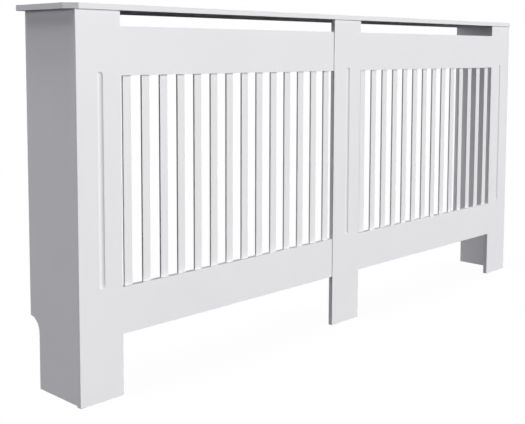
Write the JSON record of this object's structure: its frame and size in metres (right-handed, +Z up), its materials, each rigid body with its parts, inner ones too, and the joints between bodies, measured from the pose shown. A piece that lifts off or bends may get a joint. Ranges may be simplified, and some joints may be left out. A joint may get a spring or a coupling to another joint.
{
  "type": "radiator cover cabinet",
  "caption": "Open-backed painted board cabinet that stands over a radiator, with vertical slats in front, a shelf top, an air slot under it and notched sides.",
  "frame": {"origin": "middle of the outline's bottom, on the floor", "axes": "+X to the right seen from the room, +Y towards the wall, +Z up; the slatted front looks towards -Y"},
  "size_m": [1.72, 0.193, 0.815],
  "materials": {
    "painted_board": "white satin paint on fibreboard",
    "painted_slat": "white satin paint on fibreboard",
    "block_plastic": "white moulded plastic",
    "zinc_sheet": "zinc-plated sheet",
    "zinc_screw": "zinc-plated",
    "dowel_beech": "bare beech"
  },
  "bodies": {
    "root": {"top_board": "painted_board", "side_panel_left": "painted_board", "side_panel_right": "painted_board", "front_panel_left": "painted_board", "front_panel_right": "painted_board", "slat_left_01": "painted_slat", "slat_left_02": "painted_slat", "slat_left_03": "painted_slat", "slat_left_04": "painted_slat", "slat_left_05": "painted_slat", "slat_left_06": "painted_slat", "slat_left_07": "painted_slat", "slat_left_08": "painted_slat", "slat_left_09": "painted_slat", "slat_left_10": "painted_slat", "slat_left_11": "painted_slat", "slat_left_12": "painted_slat", "slat_left_13": "painted_slat", "slat_left_14": "painted_slat", "slat_right_01": "painted_slat", "slat_right_02": "painted_slat", "slat_right_03": "painted_slat", "slat_right_04": "painted_slat", "slat_right_05": "painted_slat", "slat_right_06": "painted_slat", "slat_right_07": "painted_slat", "slat_right_08": "painted_slat", "slat_right_09": "painted_slat", "slat_right_10": "painted_slat", "slat_right_11": "painted_slat", "slat_right_12": "painted_slat", "slat_right_13": "painted_slat", "slat_right_14": "painted_slat", "corner_block_left_lower": "block_plastic", "corner_block_left_middle": "block_plastic", "corner_block_left_upper": "block_plastic", "corner_block_right_lower": "block_plastic", "corner_block_right_middle": "block_plastic", "corner_block_right_upper": "block_plastic", "top_block_left": "block_plastic", "top_block_centre": "block_plastic", "top_block_right": "block_plastic", "joiner_plate_lower": "zinc_sheet", "joiner_plate_upper": "zinc_sheet", "wall_bracket_left": "zinc_sheet", "wall_bracket_right": "zinc_sheet", "corner_block_screws": "zinc_screw", "top_block_screws": "zinc_screw", "joiner_plate_screws": "zinc_screw", "wall_bracket_screws": "zinc_screw", "top_dowels": "dowel_beech", "rail_dowels": "dowel_beech"}
  },
  "joints": []
}
